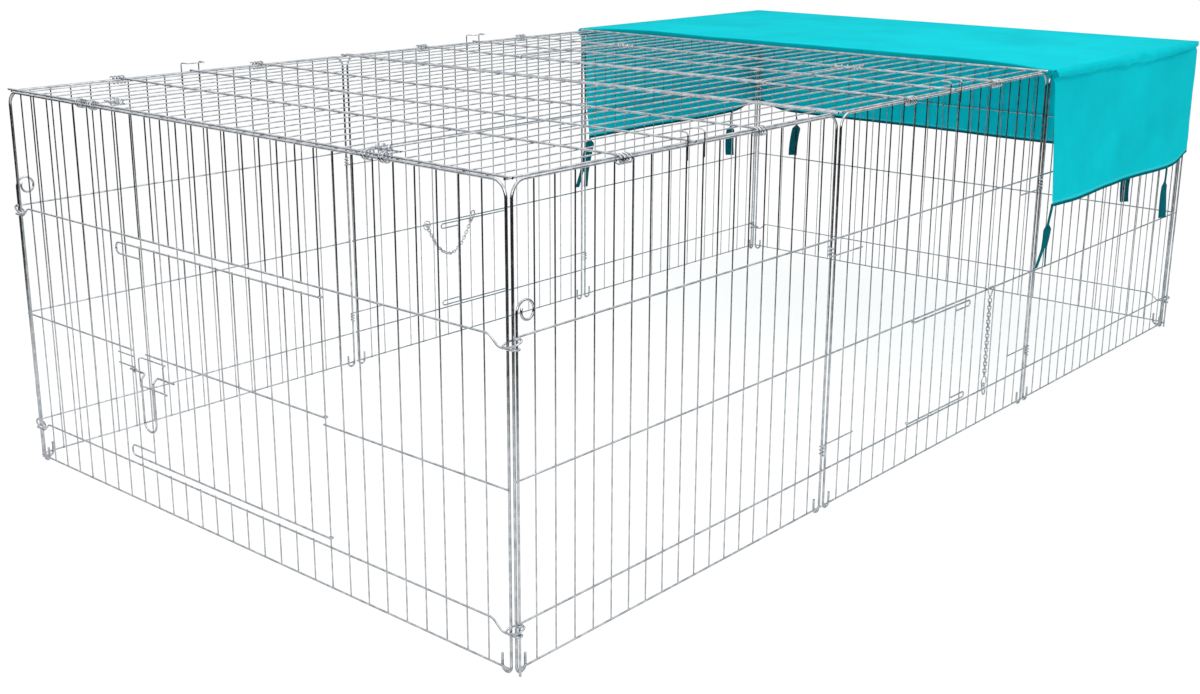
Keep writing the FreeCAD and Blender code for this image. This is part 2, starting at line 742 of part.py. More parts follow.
# Top: bars across the run rest on the long sides' rails and carry the wires along it.
bar_rise = size("hook_fit") + flat("bar_wire")
bar_z = height + bar_rise
bar_line = f"(sizes.panel_height + sizes.hook_fit + {flat_of('bar_wire')})"
wire_line = f"({bar_line} - {flat_of('bar_wire')} - {flat_of('mesh_wire')} + sizes.weld_sink)"
top_pitch = "((sizes.run_width - sizes.frame_wire) / sizes.top_gaps)"
top_edge = "(-sizes.run_width / 2 + sizes.frame_wire / 2)"


def top_y(place):
    return -width / 2 + frame_r + place * (width - 2 * frame_r) / count("top_gaps")


def hooked_bar(name, place):
    axis_y = width / 2 - frame_r
    axis_z = height - frame_r
    radius = bar_z - axis_z
    turn = size("hook_turn")
    ring = FreeCAD.Vector(place, -axis_y, axis_z)
    wire = from_ring(ring, radius, turn, -right, inward)
    wire.forward(2 * axis_y).turn(radius, turn, -right)
    return bent(name, wire.solid("bar_wire", lean=right))


def straight_bar(name, place, start="-sizes.run_width / 2", run="sizes.run_width"):
    return prism(name, "bar_wire", run, (place, start, bar_line), "y")


def long_wire(name, place, left, far):
    start = (left, f"{top_edge} + {place} * {top_pitch}", wire_line)
    return prism(name, "mesh_wire", f"{far} - {left}", start, "x")


bar_place = f"(sizes.leg_inset + sizes.bar_gap * {long_pitch})"


# The middle panel leaves an opening between its hooked bars for the hatch.
def top_panels():
    edge_run = f"({long_size} - 2 * sizes.top_inset + sizes.bar_wire)"
    for number in range(count("side_panels")):
        left = f"(-sizes.run_length / 2 + {number} * {long_size})"
        near = f"({left} + sizes.top_inset)"
        far = f"({left} + {long_size} - sizes.top_inset)"
        first = f"({left} + {bar_place})"
        second = f"({left} + {long_size} - {bar_place})"
        start = -length / 2 + number * long_panel
        hooks = (start + long_x(size("bar_gap")), start + long_panel - long_x(size("bar_gap")))
        bars = [straight_bar("edge_bar", near), straight_bar("edge_bar", far)]
        bars += [hooked_bar("hooked_bar", place) for place in hooks]
        for sign in ("", "-"):
            edge_y = f"{sign}(-sizes.run_width / 2 + sizes.edge_inset)"
            edge_z = f"{bar_line} - 2 * {flat_of('bar_wire')} + sizes.weld_sink"
            begin = (f"{near} - sizes.bar_wire / 2", edge_y, edge_z)
            bars.append(prism("edge_wire", "bar_wire", edge_run, begin, "x"))
        centre = f"({left} + {long_size} / 2)"
        has_hatch = number == 1
        if has_hatch:
            side_run = f"(sizes.hatch_from * {top_pitch} + sizes.frame_wire / 2 + sizes.rail_end)"
            bars.append(straight_bar("half_bar", centre, run=side_run))
            other = f"({top_edge} + sizes.hatch_to * {top_pitch} - sizes.rail_end)"
            other_run = f"(sizes.run_width / 2 - {other})"
            bars.append(straight_bar("half_bar", centre, other, other_run))
        else:
            bars.append(straight_bar("centre_bar", centre))
        wires = []
        for place in range(1, count("top_gaps")):
            wire_from = f"({near} - sizes.mesh_wire)"
            wire_to = f"({far} + sizes.mesh_wire)"
            if has_hatch and count("hatch_from") < place < count("hatch_to"):
                wires.append(long_wire("near_wire", place, wire_from, f"({first} + sizes.mesh_wire)"))
                wires.append(long_wire("far_wire", place, f"({second} - sizes.mesh_wire)", wire_to))
            else:
                wires.append(long_wire("top_wire", place, wire_from, wire_to))
        group(f"top_bars_{number + 1}", bars)
        group(f"top_wires_{number + 1}", wires)


# The hatch turns on the middle panel's first hooked bar; its side rods lie over the second one.
def hatch():
    eye = size("bar_wire") / 2 + size("loose_fit") + flat("rail_wire")
    step = size("hatch_step")
    hinge = -length / 2 + long_panel + long_x(size("bar_gap"))
    catch = -length / 2 + 2 * long_panel - long_x(size("bar_gap"))
    rod_z = bar_z + eye
    pieces = []
    for place, sign in (("hatch_from", 1), ("hatch_to", -1)):
        start = FreeCAD.Vector(catch + size("hatch_past"), top_y(size(place)) + sign * step, rod_z)
        rod = Bend(start, -right).forward(start.x - hinge).turn(eye, size("eye_turn"), -inward)
        pieces.append(bent("hatch_rod", rod.solid("rail_wire")))
    bar_level = (f"({bar_line} + sizes.bar_wire / 2 + sizes.loose_fit"
                 f" - {flat_of('bar_wire')} + sizes.weld_sink)")
    hatch_left = f"({top_edge} + sizes.hatch_from * {top_pitch} + sizes.hatch_step - sizes.rail_end)"
    hatch_right = f"({top_edge} + sizes.hatch_to * {top_pitch} - sizes.hatch_step + sizes.rail_end)"
    near = f"(-sizes.run_length / 2 + {long_size} + {bar_place} + sizes.hatch_step)"
    far = f"(-sizes.run_length / 2 + 2 * {long_size} - {bar_place} - sizes.hatch_step)"
    for place in (near, f"(({near} + {far}) / 2)", far):
        start = (place, hatch_left, bar_level)
        pieces.append(prism("hatch_bar", "bar_wire", f"{hatch_right} - {hatch_left}", start, "y"))
    level = f"({bar_level} - {flat_of('bar_wire')} - {flat_of('mesh_wire')} + sizes.weld_sink)"
    for place in range(count("hatch_from") + 1, count("hatch_to")):
        start = (f"{near} - sizes.mesh_wire", f"{top_edge} + {place} * {top_pitch}", level)
        pieces.append(prism("hatch_wire", "mesh_wire", f"{far} - {near} + 2 * sizes.mesh_wire", start, "x"))
    group("top_hatch", pieces)


# Clips at the near edge of the top: a stub over two wires and a rod from it to the first hooked bar.
def edge_clips():
    stub_level = f"({wire_line} + {flat_of('mesh_wire')} + {flat_of('stub_wire')} - sizes.weld_sink)"
    stub_z = bar_z - flat("bar_wire") + flat("stub_wire")
    clip_x = -length / 2 + size("clip_inset")
    bar_x = -length / 2 + long_x(size("bar_gap"))
    past = size("clip_past")
    first = count("clip_from")
    pieces = []
    for place in (first, count("top_gaps") - first - 1):
        start_y = f"{top_edge} + {place} * {top_pitch} - sizes.clip_past"
        start = ("-sizes.run_length / 2 + sizes.clip_inset", start_y, stub_level)
        pieces.append(prism("clip_stub", "stub_wire", f"{top_pitch} + 2 * sizes.clip_past", start, "y"))
        middle_y = (top_y(place) + top_y(place + 1)) / 2
        rise = flat("rail_wire") - sink
        over_stub = FreeCAD.Vector(clip_x, middle_y, stub_z + flat("stub_wire") + rise)
        over_bar = FreeCAD.Vector(bar_x, middle_y, bar_z + flat("bar_wire") + rise)
        heading = FreeCAD.Vector(over_bar - over_stub).normalize()
        rod = Bend(over_stub - heading * past, heading).forward((over_bar - over_stub).Length + 2 * past)
        pieces.append(bent("clip_rod", rod.solid("rail_wire")))
    group("edge_clips", pieces)


# Cover: a flat cloth on the far panel, three flaps that hang in waves, and ties sewn to the flaps.
cover_line = f"({bar_line} + {flat_of('bar_wire')} + sizes.cover_lift)"
cover_z = bar_z + flat("bar_wire") + size("cover_lift")
cover_start = length / 2 - long_panel


def cloth_box(name, extents, start):
    piece = doc.addObject("Part::Box", name)
    for edge, extent in zip(("Length", "Width", "Height"), extents):
        piece.setExpression(edge, extent)
    for axis, place in zip("xyz", start):
        piece.setExpression(f"Placement.Base.{axis}", place)
    return piece


def flap(name, span, base, degrees):
    cloth = size("cloth")
    wave = size("flap_wave")
    halves = 2 * count("flap_waves")
    stretch = span / halves
    edges = []
    for offset in (-2 * wave - cloth, -2 * wave):
        for number in range(halves):
            begin = FreeCAD.Vector(number * stretch, offset + wave, 0)
            crest = begin + FreeCAD.Vector(stretch / 2, wave * (-1) ** number, 0)
            edges.append(Part.Arc(begin, crest, begin + right * stretch).toShape())
    for side in (0, span):
        begin = FreeCAD.Vector(side, -wave - cloth, 0)
        edges.append(Part.LineSegment(begin, begin + inward * cloth).toShape())
    profile = Part.Face(Part.Wire(Part.__sortEdges__(edges)))
    piece = bent(name, profile.extrude(up * -size("flap_drop")))
    piece.Placement = FreeCAD.Placement(base, FreeCAD.Rotation(up, degrees))
    label(piece, name)


def cover():
    sides_line = "(sizes.run_width / 2 + sizes.flap_out_sides)"
    extents = (f"{long_size} + sizes.flap_out_end", f"2 * {sides_line}", "sizes.cloth")
    start = (f"sizes.run_length / 2 - {long_size}", f"-{sides_line}", cover_line)
    label(cloth_box("cover_top", extents, start), "cover_top")
    side_y = width / 2 + size("flap_out_sides")
    far_x = length / 2 + size("flap_out_end")
    flap("cover_flap_front", long_panel, FreeCAD.Vector(length / 2, -side_y, cover_z), 180)
    flap("cover_flap_back", long_panel, FreeCAD.Vector(cover_start, side_y, cover_z), 0)
    flap("cover_flap_end", width, FreeCAD.Vector(far_x, width / 2, cover_z), -90)


# How far a flap's wave stands out from its middle line, at a place along it.
def wave_out(span, along):
    place = along / span * 2 * count("flap_waves")
    across = place % 1
    return size("flap_wave") * (-1) ** int(place) * 4 * across * (1 - across)


# Two ties hang from each flap's hem.
def ties():
    broad = size("tie_width")
    middle_line = -size("flap_wave") - size("cloth")
    side_y = width / 2 + size("flap_out_sides") + middle_line
    far_x = length / 2 + size("flap_out_end") + middle_line
    foot = f"{cover_line} - sizes.flap_drop - sizes.tie_length"
    side_tie = ("sizes.tie_width", "sizes.cloth", "sizes.tie_length")
    end_tie = ("sizes.cloth", "sizes.tie_width", "sizes.tie_length")
    pieces = []
    for along in (size("tie_inset"), long_panel - size("tie_far_inset") - broad):
        start_x = f"{cover_start + along}"
        back_y = side_y + wave_out(long_panel, along + broad / 2)
        front_y = side_y + wave_out(long_panel, long_panel - along - broad / 2)
        pieces.append(cloth_box("back_tie", side_tie, (start_x, f"{back_y}", foot)))
        pieces.append(cloth_box("front_tie", side_tie, (start_x, f"-{front_y} - sizes.cloth", foot)))
    for along in (size("tie_end_inset"), width - size("tie_end_inset")):
        place_x = far_x + wave_out(width, along)
        start_y = f"{width / 2 - along} - sizes.tie_width / 2"
        pieces.append(cloth_box("end_tie", end_tie, (f"{place_x}", start_y, foot)))
    group("cover_ties", pieces)


side_panels()
coil_hinges()
corner_pins()
rail_loops()
end_door()
door_bolt()
bolt_guide()
bolt_keeper()
small_doors()
chains()
top_panels()
hatch()
edge_clips()
cover()
ties()
doc.recompute()

for piece in doc.Objects:
    if "Invalid" in piece.State or "Error" in piece.State:
        raise RuntimeError(f"{piece.Label} did not build")
for node in nodes:
    if node.Shape.isNull() or not node.Shape.isValid():
        raise RuntimeError(f"{node.Label} has no sound shape")
os.makedirs("parts", exist_ok=True)
for node in nodes:
    node.Shape.exportStep(f"parts/{node.Label}.step")
print(f"{len(nodes)} nodes")
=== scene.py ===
import bpy
import json
import math
from mathutils import Matrix, Vector, noise


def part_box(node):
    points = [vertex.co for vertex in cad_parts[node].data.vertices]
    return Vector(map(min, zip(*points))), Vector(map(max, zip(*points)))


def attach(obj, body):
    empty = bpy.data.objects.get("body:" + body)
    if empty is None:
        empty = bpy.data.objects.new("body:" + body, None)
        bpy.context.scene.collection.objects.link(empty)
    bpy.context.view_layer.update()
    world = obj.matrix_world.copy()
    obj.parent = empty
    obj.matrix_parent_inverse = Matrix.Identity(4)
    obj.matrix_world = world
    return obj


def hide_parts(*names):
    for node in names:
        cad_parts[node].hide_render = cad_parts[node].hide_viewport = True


# A wire pet run with a cloth shade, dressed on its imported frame. Lengths are metres.
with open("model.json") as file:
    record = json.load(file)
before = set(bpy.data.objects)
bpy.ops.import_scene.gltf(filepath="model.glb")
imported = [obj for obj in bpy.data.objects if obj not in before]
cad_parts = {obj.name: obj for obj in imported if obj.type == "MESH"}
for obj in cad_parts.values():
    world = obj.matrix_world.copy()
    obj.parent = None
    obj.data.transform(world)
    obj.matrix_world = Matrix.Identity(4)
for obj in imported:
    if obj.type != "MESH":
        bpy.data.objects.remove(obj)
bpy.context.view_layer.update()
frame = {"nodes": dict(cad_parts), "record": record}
nodes = frame["nodes"]
bodyOf = {node: body for body, group in frame["record"]["behaviour"]["bodies"].items() for node in group}
xAxis = Vector((1, 0, 0))
yAxis = Vector((0, 1, 0))
zAxis = Vector((0, 0, 1))
micron = 1e-6


# The frame's boxes are in single precision, so lengths taken from them are rounded to the micron.
def toMicron(length):
    return round(length, 6)


def linear(hexText):
    channels = [int(hexText[place:place + 2], 16) / 255 for place in (1, 3, 5)]
    return tuple(c / 12.92 if c <= 0.04045 else ((c + 0.055) / 1.055) ** 2.4 for c in channels) + (1.0,)


def setInputs(tree, node, inputs):
    for name, value in inputs.items():
        if isinstance(value, bpy.types.NodeSocket):
            tree.links.new(value, node.inputs[name])
        else:
            node.inputs[name].default_value = value


def addNode(tree, kind, inputs=None, **settings):
    node = tree.nodes.new(kind)
    for name, value in settings.items():
        setattr(node, name, value)
    setInputs(tree, node, inputs or {})
    return node


def newMaterial(name):
    material = bpy.data.materials.new(name)
    material.use_nodes = True
    return material, material.node_tree, material.node_tree.nodes["Principled BSDF"]


def newMesh(name, verts, faces, material):
    mesh = bpy.data.meshes.new(name)
    mesh.from_pydata(verts, [], faces)
    mesh.materials.append(material)
    piece = bpy.data.objects.new(name, mesh)
    bpy.context.scene.collection.objects.link(piece)
    return piece


wire = {
    "sides": 10,
    "thinSides": 8,
    "bendSteps": 3,
    "brightHex": "#D4D7DB",
    "dullHex": "#A6ABB1",
    "patchSize": 0.012,
    "patchEdges": (0.35, 0.65),
    "grainSize": 0.0009,
    "grainDepth": 0.0001,
    "grainStrength": 0.06,
    "glossEdges": (0.3, 0.7),
    "roughness": (0.12, 0.22),
}


# Bright zinc on drawn steel wire: soft patches of duller zinc, a fine grain and uneven gloss.
def zincMaterial():
    material, tree, shader = newMaterial("bright_zinc_drawn_wire")
    place = addNode(tree, "ShaderNodeTexCoord").outputs["Object"]
    patches = addNode(tree, "ShaderNodeTexNoise", {
        "Vector": place, "Scale": 1 / wire["patchSize"], "Detail": 3.0}).outputs["Fac"]
    grain = addNode(tree, "ShaderNodeTexNoise", {
        "Vector": place, "Scale": 1 / wire["grainSize"], "Detail": 2.0}).outputs["Fac"]
    brightness = addNode(tree, "ShaderNodeMapRange", {
        "Value": patches, "From Min": wire["patchEdges"][0], "From Max": wire["patchEdges"][1]})
    colour = addNode(tree, "ShaderNodeMix", {
        "Factor": brightness.outputs["Result"], "A": linear(wire["dullHex"]), "B": linear(wire["brightHex"])},
        data_type="RGBA")
    gloss = addNode(tree, "ShaderNodeMapRange", {
        "Value": patches, "From Min": wire["glossEdges"][0], "From Max": wire["glossEdges"][1],
        "To Min": wire["roughness"][0], "To Max": wire["roughness"][1]})
    bump = addNode(tree, "ShaderNodeBump", {
        "Height": grain, "Strength": wire["grainStrength"], "Distance": wire["grainDepth"]})
    setInputs(tree, shader, {
        "Base Color": colour.outputs["Result"], "Roughness": gloss.outputs["Result"],
        "Normal": bump.outputs["Normal"], "Metallic": 1.0})
    return material


zinc = zincMaterial()


# The CAD wires have a polygon for a section, so their lines are read back and swept with a round one.
def findRoot(parents, item):
    while parents[item] != item:
        parents[item] = parents[parents[item]]
        item = parents[item]
    return item


def grouped(count, clusters):
    parents = list(range(count))
    for cluster in clusters:
        for other in cluster[1:]:
            parents[findRoot(parents, other)] = findRoot(parents, cluster[0])
    return [findRoot(parents, item) for item in range(count)]


# Each CAD face has its own points. Points at one place are numbered as one spot.
def weld(mesh):
    numbers = {}
    spots = []
    merged = []
    for vertex in mesh.vertices:
        key = tuple(round(c / micron) for c in vertex.co)
        if key not in numbers:
            numbers[key] = len(spots)
            spots.append(vertex.co.copy())
        merged.append(numbers[key])
    return merged, spots


# A wire's line: the middles of its rings of spots, from its smallest end face on.
def wireLines(node):
    mesh = nodes[node].data
    triangles = [tuple(face.vertices) for face in mesh.polygons]
    faceOf = grouped(len(mesh.vertices), triangles)
    merged, spots = weld(mesh)
    corners = [[merged[v] for v in triangle] for triangle in triangles]
    solidOf = grouped(len(spots), corners)
    facesAt = [set() for spot in spots]
    nearby = [set() for spot in spots]
    faceSpots = {}
    faceArea = {}
    for triangle, cluster, face in zip(triangles, corners, mesh.polygons):
        name = faceOf[triangle[0]]
        faceSpots.setdefault(name, set()).update(cluster)
        faceArea[name] = faceArea.get(name, 0) + face.area
        for spot in cluster:
            facesAt[spot].add(name)
            nearby[spot].update(cluster)
    caps = {}
    for name, members in faceSpots.items():
        solid = solidOf[next(iter(members))]
        isCap = all(len(facesAt[spot]) == 3 for spot in members)  # an end and two sides meet at its corners
        if isCap and faceArea[name] < faceArea.get(caps.get(solid), math.inf):
            caps[solid] = name
    lines = []
    for cap in caps.values():
        ring = faceSpots[cap]
        seen = set(ring)
        centres = []
        while ring:
            centres.append(sum((spots[spot] for spot in ring), Vector()) / len(ring))
            ring = {other for spot in ring for other in nearby[spot]} - seen
            seen |= ring
        radius = max((spots[spot] - centres[0]).length for spot in faceSpots[cap])
        lines.append((centres, radius))
    return lines


# The lines of a node's wires that lie across the run.
def crossBars(node):
    lines = [wireLine[0] for wireLine in wireLines(node)]
    return [points for points in lines if abs(points[0].x - points[-1].x) < micron]


# A point on the curve that leaves start for the corner and turns there for the end.
def bend(start, corner, end, share):
    return start.lerp(corner, share).lerp(corner.lerp(end, share), share)


# Rounds each corner of a line over half of the shorter length beside it.
def rounded(points):
    line = [points[0]]
    for before, corner, after in zip(points, points[1:], points[2:]):
        reach = min((before - corner).length, (after - corner).length) / 2
        start = corner + (before - corner).normalized() * reach
        end = corner + (after - corner).normalized() * reach
        for step in range(wire["bendSteps"] + 1):
            line.append(bend(start, corner, end, step / wire["bendSteps"]))
    line.append(points[-1])
    kept = [line[0]]
    for point in line[1:]:
        if (point - kept[-1]).length > micron:
            kept.append(point)
    return kept


def tube(points, radius, sides, closed):
    verts = []
    faces = []
    count = len(points)
    side = None
    for place, point in enumerate(points):
        before = points[place - 1] if place or closed else point
        after = points[(place + 1) % count] if place < count - 1 or closed else point
        heading = (after - before).normalized()
        if side is None:
            side = heading.orthogonal().normalized()
        side = (side - heading * side.dot(heading)).normalized()
        over = heading.cross(side)
        for step in range(sides):
            angle = 2 * math.pi * step / sides
            verts.append(point + (side * math.cos(angle) + over * math.sin(angle)) * radius)
    for ring in range(count if closed else count - 1):
        for step in range(sides):
            low = ring * sides
            high = (ring + 1) % count * sides
            following = (step + 1) % sides
            faces.append((low + step, low + following, high + following, high + step))
    if not closed:  # the ends have their own points, so that they don't bend the wire's shading
        ends = len(verts)
        verts += verts[:sides] + verts[-sides:]
        faces.append(tuple(reversed(range(ends, ends + sides))))
        faces.append(tuple(range(ends + sides, ends + 2 * sides)))
    return verts, faces


def tubes(name, lines, body, sides, closed=False):
    verts = []
    faces = []
    for points, radius in lines:
        newVerts, newFaces = tube(points, radius, sides, closed)
        faces += [tuple(len(verts) + v for v in face) for face in newFaces]
        verts += newVerts
    piece = newMesh(name, verts, faces, zinc)
    piece.data.polygons.foreach_set("use_smooth", [len(face) == 4 for face in faces])  # wire ends stay flat
    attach(piece, body)
    return piece


def roundWires(node):
    lines = [(rounded(points), radius) for points, radius in wireLines(node)]
    piece = tubes(f"{node}_wires", lines, bodyOf[node], wire["sides"])
    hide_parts(node)


clothNodes = {"cover_top", "cover_flap_front", "cover_flap_back", "cover_flap_end", "cover_ties"}
chainNodes = {"front_chain", "back_chain"}
for node in nodes:
    if node not in clothNodes | chainNodes:
        roundWires(node)
print("wires done")

cloth = {
    "wrinkleShadeSize": 0.25,
    "wrinkleShadeEdges": (0.2, 0.6),
    "slubYarns": 4,
    "reliefDepth": 0.0003,
    "reliefStrength": 0.35,
    "roughness": 0.85,
    "shine": 0.02,
    "daylight": 0.4,
    "daylightReach": 0.002,
    "hemHex": "#04606B",
    "stitchHex": "#6FE0E8",
    "stitchPitch": 0.009,
}
bandScale = math.pi / 10  # a wave texture's scale for bands a metre apart


# Woven polyester: over and under yarns along the cloth's own u and v, with broad random patches of deeper
# teal as painted shade of soft wrinkles, and a sewn hem.
# Real yarns are about 0.4 mm and stitches 3 mm, and both are drawn coarser, so that they show.
# Daylight comes through the thin cloth, so it glows a little from below the surface.
def clothMaterial(name, brightHex, deepHex, yarn):
    material, tree, shader = newMaterial(name)
    flat = addNode(tree, "ShaderNodeUVMap").outputs["UV"]
    # Broad random patches between the bright and the deep teal: painted shade of soft wrinkles.
    wrinkleShadeNoise = addNode(tree, "ShaderNodeTexNoise", {
        "Vector": flat, "Scale": 1 / cloth["wrinkleShadeSize"], "Detail": 4.0, "Roughness": 0.6})
    slub = addNode(tree, "ShaderNodeTexNoise", {
        "Vector": flat, "Scale": 1 / (cloth["slubYarns"] * yarn), "Detail": 2.0})
    bands = []
    for direction in ("X", "Y"):
        bands.append(addNode(tree, "ShaderNodeTexWave", {"Vector": flat, "Scale": bandScale / yarn},
                             bands_direction=direction).outputs["Fac"])
    weave = addNode(tree, "ShaderNodeMath", {0: bands[0], 1: bands[1]}, operation="MULTIPLY")
    relief = addNode(tree, "ShaderNodeMath", {0: slub.outputs["Fac"], 1: weave.outputs[0]}, operation="ADD")
    bump = addNode(tree, "ShaderNodeBump", {
        "Height": relief.outputs[0], "Strength": cloth["reliefStrength"], "Distance": cloth["reliefDepth"]})
    paintedWrinkleShade = addNode(tree, "ShaderNodeMapRange", {
        "Value": wrinkleShadeNoise.outputs["Fac"], "From Min": cloth["wrinkleShadeEdges"][0], "From Max": cloth["wrinkleShadeEdges"][1]})
    colour = addNode(tree, "ShaderNodeMix", {
        "Factor": paintedWrinkleShade.outputs["Result"], "A": linear(deepHex), "B": linear(brightHex)},
        data_type="RGBA")
    # The hem mark darkens the skirt's sewn hem. On the top sheet's turned-down lip it paints shade.
    band = addNode(tree, "ShaderNodeAttribute", attribute_name="hem").outputs["Fac"]
    hemAndLipShade = addNode(tree, "ShaderNodeMix", {
        "Factor": band, "A": colour.outputs["Result"], "B": linear(cloth["hemHex"])}, data_type="RGBA")
    dashes = addNode(tree, "ShaderNodeTexWave", {"Vector": flat, "Scale": bandScale / cloth["stitchPitch"]})
    row = addNode(tree, "ShaderNodeAttribute", attribute_name="stitch").outputs["Fac"]
    thread = addNode(tree, "ShaderNodeMath", {0: dashes.outputs["Fac"], 1: row}, operation="MULTIPLY")
    sewn = addNode(tree, "ShaderNodeMix", {
        "Factor": thread.outputs[0], "A": hemAndLipShade.outputs["Result"], "B": linear(cloth["stitchHex"])},
        data_type="RGBA")
    setInputs(tree, shader, {
        "Base Color": sewn.outputs["Result"], "Normal": bump.outputs["Normal"],
        "Roughness": cloth["roughness"], "Specular IOR Level": cloth["shine"],
        "Subsurface Weight": cloth["daylight"], "Subsurface Scale": cloth["daylightReach"],
        "Subsurface Radius": (1.0, 1.0, 1.0)})
    return material


def ripple(x, y, scale, seed):
    return noise.noise(Vector((x * scale, y * scale, seed)))


def bell(place, centre, spread):
    return math.exp(-((place - centre) / spread) ** 2)


def gridFaces(across, down):
    faces = []
    for row in range(down - 1):
        for column in range(across - 1):
            first = row * across + column
            faces.append((first, first + 1, first + across + 1, first + across))
    return faces


# The marks are point values that the cloth's material reads: hem and stitch. On the top sheet's turned-down
# lip the hem mark is painted shade.
def clothSheet(name, verts, faces, material, uvs, thickness, **marks):
    piece = newMesh(name, verts, faces, material)
    mesh = piece.data
    mesh.polygons.foreach_set("use_smooth", [True] * len(faces))
    layer = mesh.uv_layers.new(name="UVMap")
    for loop in mesh.loops:
        layer.data[loop.index].uv = uvs[loop.vertex_index]
    for mark, values in marks.items():
        mesh.attributes.new(mark, "FLOAT", "POINT").data.foreach_set("value", values)
    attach(piece, "run")
    solidify = piece.modifiers.new("cloth", "SOLIDIFY")
    solidify.thickness = thickness
    solidify.offset = 0.0
    return piece


# Cover: a top sheet and a skirt of three flaps in one strip, with a puckered seam between them.
cover = {
    "sideInset": 0.0075,
    "endInset": 0.00815,
    "thickness": 0.0007,
    "gridStep": 0.008,
    "brightHex": "#08D2E0",
    "deepHex": "#06BBC8",
    "yarn": 0.0030,
}
coverCloth = clothMaterial("woven_polyester_teal", cover["brightHex"], cover["deepHex"], cover["yarn"])
coverLow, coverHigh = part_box("cover_top")
coverSide = toMicron(coverHigh.y - cover["sideInset"])  # the seam's roll stands out past these lines
coverEnd = toMicron(coverHigh.x - cover["endInset"])
coverLevel = coverLow.z + cover["thickness"]

topSheet = {
    "lip": 0.010,
    "lipRows": 4,
    "lipShade": 0.55,
    "columnPower": 0.97,
    "barSpread": 0.03,
    "edgeSpread": 0.02,
    "sag": 0.0010,
    "fineSag": 0.0008,
    "nearRise": 0.008,
    "nearSpread": 0.030,
    "cornerSpread": 0.08,
    "riseWander": 0.25,
}


# The top sheet lies on the bars, dips a little between them, and turns down at its near hem.
def makeTopSheet():
    start = coverLow.x
    end = coverEnd
    half = coverSide
    bars = [points[0].x for points in crossBars("top_bars_3")]
    lipRows = topSheet["lipRows"]
    line = [(start, topSheet["lip"] * (1 - row / lipRows)) for row in range(lipRows)]
    across = round((end - start) / cover["gridStep"])
    for column in range(across + 1):
        line.append((start + (end - start) * (column / across) ** topSheet["columnPower"], 0.0))
    down = round(2 * half / cover["gridStep"]) + 1
    verts = []
    uvs = []
    hem = []
    for row in range(down):
        y = -half + 2 * half * row / (down - 1)
        edge = 1 - bell(abs(y), half, topSheet["edgeSpread"])
        inner = 1 - bell(abs(y), half, topSheet["cornerSpread"])
        wander = 1 + topSheet["riseWander"] * ripple(y, 0.0, scale=7.0, seed=6.0)
        for x, drop in line:
            free = edge * (1 - max(bell(x, bar, topSheet["barSpread"]) for bar in bars))
            slack = topSheet["sag"] * (1 + ripple(x, y, scale=5.0, seed=3.0))
            slack += topSheet["fineSag"] * ripple(x, y, scale=22.0, seed=8.0)
            rise = topSheet["nearRise"] * bell(x, start, topSheet["nearSpread"]) * inner * wander
            verts.append((x, y, coverLevel - drop - free * max(0.0, slack) + rise))
            uvs.append((x - drop, y))
            # The turned-down lip takes part of the dark hem colour: painted shade on the lip below the raised
            # edge.
            hem.append(topSheet["lipShade"] if drop else 0.0)
    piece = clothSheet("cover_top_sheet", verts, gridFaces(len(line), down), coverCloth, uvs,
                       cover["thickness"], hem=hem)
    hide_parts("cover_top")


# The welt is the roll that the seam makes along the skirt's top edge.
skirt = {
    "hem": 0.014,
    "hemRows": 6,
    "hemLine": 0.006,
    "stitchRow": 1,
    "stitchShade": 0.7,
    "sewnLift": 0.0006,
    "nearGap": 0.002,
    "nearSlant": 0.034,
    "slantSpread": 0.12,
    "cornerRadius": 0.008,
    "cornerSteps": 6,
    "cornerRise": 0.020,
    "cornerSpread": 0.055,
    "waveLength": 0.46,
    "waveDepth": 0.0018,
    "waveLift": 0.6,
    "broadFold": 0.0009,
    "lowFold": 0.0008,
    "lowFoldCrowd": 3,
    "hemSway": 0.003,
    "weltDrop": 0.016,
    "weltGrowth": 0.2,
    "weltFoldPlace": 0.40,
    "weltFoldDrop": 0.023,
    "weltFoldLoss": 0.5,
    "weltEndShare": 0.8,
    "weltWander": 0.22,
    "weltBulge": 0.0068,
    "weltSwell": 0.4,
    "weltSwellPower": 0.6,
    "weltLip": 0.12,
    "weltRowStep": 0.0016,
    "weltRowReach": 1.4,
    "weltPlump": 0.85,
    "weltPlumpWander": 0.5,
    "weltPucker": 0.45,
    "weltLeast": 0.3,
    "weltCornerLoss": 0.75,
    "weltCornerSpread": 0.035,
    "weltCrease": 0.0028,
    "weltCreasePlace": 1.15,
    "weltCreaseSpread": 0.004,
}
flapLow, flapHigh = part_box("cover_flap_front")
flapDrop = toMicron(flapHigh.z - flapLow.z)


# The skirt's line in plan, each point with its outward direction: front, far corner, end, and back again.
def skirtLine():
    radius = skirt["cornerRadius"]
    start = coverLow.x + skirt["nearGap"]
    straight = coverEnd - radius - start
    steps = round(straight / cover["gridStep"])
    front = []
    for step in range(steps):
        front.append((Vector((start + straight * step / steps, -coverSide)), Vector((0.0, -1.0))))
    for step in range(skirt["cornerSteps"] + 1):
        angle = -math.pi / 2 + math.pi / 2 * step / skirt["cornerSteps"]
        out = Vector((math.cos(angle), math.sin(angle)))
        front.append((Vector((coverEnd - radius, -coverSide + radius)) + out * radius, out))
    span = 2 * (coverSide - radius)
    steps = round(span / cover["gridStep"])
    end = []
    for step in range(1, steps):
        end.append((Vector((coverEnd, -coverSide + radius + span * step / steps)), Vector((1.0, 0.0))))
    back = [(Vector((point.x, -point.y)), Vector((out.x, -out.y))) for point, out in reversed(front)]
    return front + end + back


